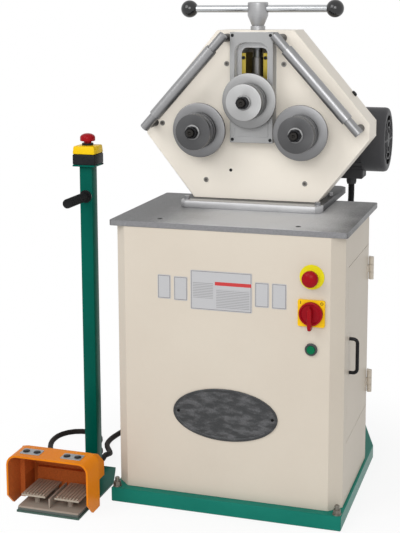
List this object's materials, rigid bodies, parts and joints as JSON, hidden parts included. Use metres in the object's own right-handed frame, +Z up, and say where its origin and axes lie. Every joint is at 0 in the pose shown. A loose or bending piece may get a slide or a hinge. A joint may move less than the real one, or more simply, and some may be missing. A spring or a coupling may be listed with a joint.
{
  "type": "ring roller",
  "caption": "Motor-driven ring roller: a cabinet with a roll head, a screw-down top roll on a cross handle, and a foot pedal on its pedestal.",
  "frame": {"origin": "middle of the base frame's underside, on the floor; the screw axis stands over it", "axes": "+Z up, -Y towards the operator, +X to the operator's right, where the motor ends"},
  "size_m": [0.9253, 0.7855, 1.2599],
  "materials": {
    "base_frame": "glossy green paint",
    "cabinet_shell": "textured cream paint",
    "cabinet_door": "textured cream paint",
    "door_hinge_upper": "zinc",
    "door_hinge_lower": "zinc",
    "door_pull": "black",
    "table_plate": "dull steel plate",
    "switchgear_plate": "zinc",
    "estop_collar": "yellow",
    "estop_button": "red",
    "main_switch_plate": "yellow",
    "main_switch_handle": "red",
    "start_button_bezel": "grey",
    "start_button": "green",
    "head_base_plate": "dull steel plate",
    "head_front_plate": "textured cream paint",
    "head_housing": "textured cream paint",
    "slide_frame": "ground",
    "guide_frame": "ground",
    "brass_gib_left": "milled",
    "brass_gib_right": "milled",
    "slide_block": "milled",
    "press_screw": "turned",
    "handle_hub": "turned",
    "handle_bar": "bright bar",
    "ball_knob_left": "black",
    "ball_knob_right": "black",
    "top_spindle": "turned",
    "top_roll": "turned",
    "top_roll_nut": "black oxide",
    "lower_left_spindle": "turned",
    "lower_left_roll": "turned",
    "lower_left_nut": "black oxide",
    "lower_right_spindle": "turned",
    "lower_right_roll": "turned",
    "lower_right_nut": "black oxide",
    "drive_pinion": "cut gear",
    "bearing_housing_left": "machined casting",
    "bearing_housing_right": "machined casting",
    "guide_bar_left": "bright bar",
    "guide_bar_right": "bright bar",
    "guide_sleeve_left": "ground tube",
    "guide_sleeve_right": "ground tube",
    "gear_reducer": "black painted casting",
    "motor_body": "black painted casting",
    "motor_fan": "black",
    "motor_fan_cover": "black paint",
    "motor_conduit": "black",
    "pedestal_foot_plate": "glossy green paint",
    "pedestal_post": "glossy green paint",
    "station_box": "black",
    "station_cover": "yellow",
    "station_button": "red",
    "hand_grip": "black",
    "pedal_base": "grey casting",
    "pedal_left": "ribbed casting",
    "pedal_right": "ribbed casting",
    "pedal_guard": "moulded orange",
    "pedal_cable": "black",
    "machine_cable": "black"
  },
  "bodies": {
    "machine": {"base_frame": "base_frame", "cabinet_shell": "cabinet_shell", "door_hinge_upper": "door_hinge_upper", "door_hinge_lower": "door_hinge_lower", "table_plate": "table_plate", "switchgear_plate": "switchgear_plate", "estop_collar": "estop_collar", "main_switch_plate": "main_switch_plate", "start_button_bezel": "start_button_bezel", "head_base_plate": "head_base_plate", "head_front_plate": "head_front_plate", "head_housing": "head_housing", "slide_frame": "slide_frame", "guide_frame": "guide_frame", "brass_gib_left": "brass_gib_left", "brass_gib_right": "brass_gib_right", "bearing_housing_left": "bearing_housing_left", "bearing_housing_right": "bearing_housing_right", "guide_bar_left": "guide_bar_left", "guide_bar_right": "guide_bar_right", "gear_reducer": "gear_reducer", "motor_body": "motor_body", "motor_fan_cover": "motor_fan_cover", "motor_conduit": "motor_conduit", "pedestal_foot_plate": "pedestal_foot_plate", "pedestal_post": "pedestal_post", "station_box": "station_box", "station_cover": "station_cover", "hand_grip": "hand_grip", "pedal_base": "pedal_base", "pedal_guard": "pedal_guard", "pedal_cable": "pedal_cable", "machine_cable": "machine_cable"},
    "door": {"cabinet_door": "cabinet_door", "door_pull": "door_pull"},
    "stop_mushroom": {"estop_button": "estop_button"},
    "switch_handle": {"main_switch_handle": "main_switch_handle"},
    "start_push": {"start_button": "start_button"},
    "screw_handle": {"press_screw": "press_screw", "handle_hub": "handle_hub", "handle_bar": "handle_bar", "ball_knob_left": "ball_knob_left", "ball_knob_right": "ball_knob_right"},
    "slide": {"slide_block": "slide_block"},
    "top_roll_set": {"top_spindle": "top_spindle", "top_roll": "top_roll", "top_roll_nut": "top_roll_nut"},
    "left_roll_set": {"lower_left_spindle": "lower_left_spindle", "lower_left_roll": "lower_left_roll", "lower_left_nut": "lower_left_nut"},
    "right_roll_set": {"lower_right_spindle": "lower_right_spindle", "lower_right_roll": "lower_right_roll", "lower_right_nut": "lower_right_nut"},
    "pinion": {"drive_pinion": "drive_pinion"},
    "fan": {"motor_fan": "motor_fan"},
    "left_sleeve": {"guide_sleeve_left": "guide_sleeve_left"},
    "right_sleeve": {"guide_sleeve_right": "guide_sleeve_right"},
    "station_mushroom": {"station_button": "station_button"},
    "left_treadle": {"pedal_left": "pedal_left"},
    "right_treadle": {"pedal_right": "pedal_right"}
  },
  "joints": [
    {"name": "door_swing", "type": "hinge", "parent": "machine", "child": "door", "pos_m": [0.2957, 0.0555, 0.408], "axis": [0, 0, 1], "range_deg": [0, 110]},
    {"name": "stop_press", "type": "slide", "parent": "machine", "child": "stop_mushroom", "axis": [0, 1, 0], "range_m": [0, 0.005], "stiffness_N_per_m": 400},
    {"name": "switch_turn", "type": "hinge", "parent": "machine", "child": "switch_handle", "pos_m": [0.214, -0.3093, 0.527], "axis": [0, 1, 0], "range_deg": [0, 90]},
    {"name": "start_press", "type": "slide", "parent": "machine", "child": "start_push", "axis": [0, 1, 0], "range_m": [0, 0.0035], "stiffness_N_per_m": 300},
    {"name": "screw_turn", "type": "hinge", "parent": "machine", "child": "screw_handle", "pos_m": [0, 0, 1.1829], "axis": [0, 0, 1], "range_deg": [-2250, 1800]},
    {"name": "slide_travel", "type": "slide", "parent": "machine", "child": "slide", "axis": [0, 0, 1], "range_m": [-0.0252, 0.0202]},
    {"name": "top_roll_turn", "type": "hinge", "parent": "slide", "child": "top_roll_set", "pos_m": [0, -0.0807, 1.0064], "axis": [0, 1, 0], "continuous": true},
    {"name": "left_roll_turn", "type": "hinge", "parent": "machine", "child": "left_roll_set", "pos_m": [-0.1335, -0.0807, 0.9284], "axis": [0, 1, 0], "continuous": true},
    {"name": "right_roll_turn", "type": "hinge", "parent": "machine", "child": "right_roll_set", "pos_m": [0.1335, -0.0807, 0.9284], "axis": [0, 1, 0], "continuous": true},
    {"name": "pinion_turn", "type": "hinge", "parent": "machine", "child": "pinion", "pos_m": [0, 0.0529, 0.9284], "axis": [0, 1, 0], "continuous": true},
    {"name": "fan_turn", "type": "hinge", "parent": "machine", "child": "fan", "pos_m": [0.2683, 0.242, 0.8804], "axis": [1, 0, 0], "continuous": true},
    {"name": "left_sleeve_turn", "type": "hinge", "parent": "machine", "child": "left_sleeve", "pos_m": [-0.283, -0.09, 0.9299], "axis": [0.6678, 0, 0.7444], "continuous": true},
    {"name": "right_sleeve_turn", "type": "hinge", "parent": "machine", "child": "right_sleeve", "pos_m": [0.283, -0.09, 0.9299], "axis": [-0.6678, 0, 0.7444], "continuous": true},
    {"name": "station_press", "type": "slide", "parent": "machine", "child": "station_mushroom", "axis": [0, 0, -1], "range_m": [0, 0.005], "stiffness_N_per_m": 400, "springref_m": -0.002},
    {"name": "left_pedal_press", "type": "hinge", "parent": "machine", "child": "left_treadle", "pos_m": [-0.458, -0.349, 0.0278], "axis": [1, 0, 0], "range_deg": [0, 6], "stiffness_Nm_per_rad": 6, "springref_deg": -5.16},
    {"name": "right_pedal_press", "type": "hinge", "parent": "machine", "child": "right_treadle", "pos_m": [-0.368, -0.349, 0.0278], "axis": [1, 0, 0], "range_deg": [0, 6], "stiffness_Nm_per_rad": 6, "springref_deg": -5.16}
  ],
  "couplings": [
    {"joint": "slide_travel", "follows": "screw_turn", "m_per_rad": 0.00063662},
    {"joint": "right_roll_turn", "follows": "left_roll_turn", "ratio": 1},
    {"joint": "pinion_turn", "follows": "left_roll_turn", "ratio": -2},
    {"joint": "fan_turn", "follows": "left_roll_turn", "ratio": 60}
  ]
}
